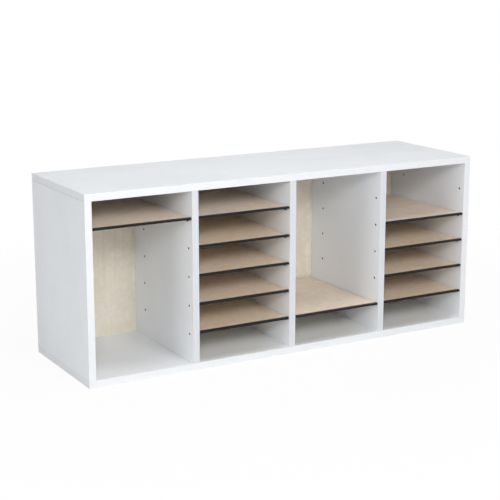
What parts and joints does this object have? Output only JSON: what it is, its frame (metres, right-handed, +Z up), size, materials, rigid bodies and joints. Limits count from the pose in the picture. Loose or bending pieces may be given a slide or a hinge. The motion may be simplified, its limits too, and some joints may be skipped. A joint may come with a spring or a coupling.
{
  "type": "literature organizer",
  "caption": "Free-standing desktop literature organizer: white board columns of open compartments, with loose hardboard shelves on pins and black label mouldings.",
  "frame": {"origin": "middle of the underside, where the organizer stands", "axes": "+Z up, -Y out of the open front, +X to the right as seen from the front"},
  "size_m": [1.0002, 0.2984, 0.4159],
  "materials": {
    "white_board": "white low-pressure laminate on particleboard, satin",
    "white_edge_band": "white plastic edge band, satin",
    "back_hardboard": "smooth light hardboard",
    "shelf_hardboard": "smooth tan hardboard",
    "black_moulding": "black extruded plastic, satin",
    "pin_plastic": "black moulded plastic",
    "dowel_wood": "plain beech",
    "nail_steel": "bright steel"
  },
  "bodies": {
    "carcass": {"bottom_board": "white_board", "left_side_panel": "white_board", "divider_1": "white_board", "divider_2": "white_board", "divider_3": "white_board", "right_side_panel": "white_board", "top_board": "white_board", "back_panel": "back_hardboard", "edge_band_bottom_front": "white_edge_band", "edge_band_bottom_left_end": "white_edge_band", "edge_band_bottom_right_end": "white_edge_band", "edge_band_left_side_panel": "white_edge_band", "edge_band_divider_1": "white_edge_band", "edge_band_divider_2": "white_edge_band", "edge_band_divider_3": "white_edge_band", "edge_band_right_side_panel": "white_edge_band", "edge_band_top_front": "white_edge_band", "edge_band_top_left_end": "white_edge_band", "edge_band_top_right_end": "white_edge_band", "wood_dowels": "dowel_wood", "back_nails": "nail_steel", "shelf_pins_column1_level5": "pin_plastic", "shelf_pins_column2_level1": "pin_plastic", "shelf_pins_column2_level2": "pin_plastic", "shelf_pins_column2_level3": "pin_plastic", "shelf_pins_column2_level4": "pin_plastic", "shelf_pins_column2_level5": "pin_plastic", "shelf_pins_column3_level1": "pin_plastic", "shelf_pins_column4_level1": "pin_plastic", "shelf_pins_column4_level2": "pin_plastic", "shelf_pins_column4_level3": "pin_plastic", "shelf_pins_column4_level4": "pin_plastic"},
    "shelf_unit_column1_level5": {"shelf_column1_level5": "shelf_hardboard", "label_moulding_column1_level5": "black_moulding"},
    "shelf_unit_column2_level1": {"shelf_column2_level1": "shelf_hardboard", "label_moulding_column2_level1": "black_moulding"},
    "shelf_unit_column2_level2": {"shelf_column2_level2": "shelf_hardboard", "label_moulding_column2_level2": "black_moulding"},
    "shelf_unit_column2_level3": {"shelf_column2_level3": "shelf_hardboard", "label_moulding_column2_level3": "black_moulding"},
    "shelf_unit_column2_level4": {"shelf_column2_level4": "shelf_hardboard", "label_moulding_column2_level4": "black_moulding"},
    "shelf_unit_column2_level5": {"shelf_column2_level5": "shelf_hardboard", "label_moulding_column2_level5": "black_moulding"},
    "shelf_unit_column3_level1": {"shelf_column3_level1": "shelf_hardboard", "label_moulding_column3_level1": "black_moulding"},
    "shelf_unit_column4_level1": {"shelf_column4_level1": "shelf_hardboard", "label_moulding_column4_level1": "black_moulding"},
    "shelf_unit_column4_level2": {"shelf_column4_level2": "shelf_hardboard", "label_moulding_column4_level2": "black_moulding"},
    "shelf_unit_column4_level3": {"shelf_column4_level3": "shelf_hardboard", "label_moulding_column4_level3": "black_moulding"},
    "shelf_unit_column4_level4": {"shelf_column4_level4": "shelf_hardboard", "label_moulding_column4_level4": "black_moulding"}
  },
  "joints": [
    {"name": "shelf_slide_column1_level5", "type": "slide", "parent": "carcass", "child": "shelf_unit_column1_level5", "axis": [0, -1, 0], "range_m": [0, 0.3]},
    {"name": "shelf_slide_column2_level1", "type": "slide", "parent": "carcass", "child": "shelf_unit_column2_level1", "axis": [0, -1, 0], "range_m": [0, 0.3]},
    {"name": "shelf_slide_column2_level2", "type": "slide", "parent": "carcass", "child": "shelf_unit_column2_level2", "axis": [0, -1, 0], "range_m": [0, 0.3]},
    {"name": "shelf_slide_column2_level3", "type": "slide", "parent": "carcass", "child": "shelf_unit_column2_level3", "axis": [0, -1, 0], "range_m": [0, 0.3]},
    {"name": "shelf_slide_column2_level4", "type": "slide", "parent": "carcass", "child": "shelf_unit_column2_level4", "axis": [0, -1, 0], "range_m": [0, 0.3]},
    {"name": "shelf_slide_column2_level5", "type": "slide", "parent": "carcass", "child": "shelf_unit_column2_level5", "axis": [0, -1, 0], "range_m": [0, 0.3]},
    {"name": "shelf_slide_column3_level1", "type": "slide", "parent": "carcass", "child": "shelf_unit_column3_level1", "axis": [0, -1, 0], "range_m": [0, 0.3]},
    {"name": "shelf_slide_column4_level1", "type": "slide", "parent": "carcass", "child": "shelf_unit_column4_level1", "axis": [0, -1, 0], "range_m": [0, 0.3]},
    {"name": "shelf_slide_column4_level2", "type": "slide", "parent": "carcass", "child": "shelf_unit_column4_level2", "axis": [0, -1, 0], "range_m": [0, 0.3]},
    {"name": "shelf_slide_column4_level3", "type": "slide", "parent": "carcass", "child": "shelf_unit_column4_level3", "axis": [0, -1, 0], "range_m": [0, 0.3]},
    {"name": "shelf_slide_column4_level4", "type": "slide", "parent": "carcass", "child": "shelf_unit_column4_level4", "axis": [0, -1, 0], "range_m": [0, 0.3]}
  ]
}
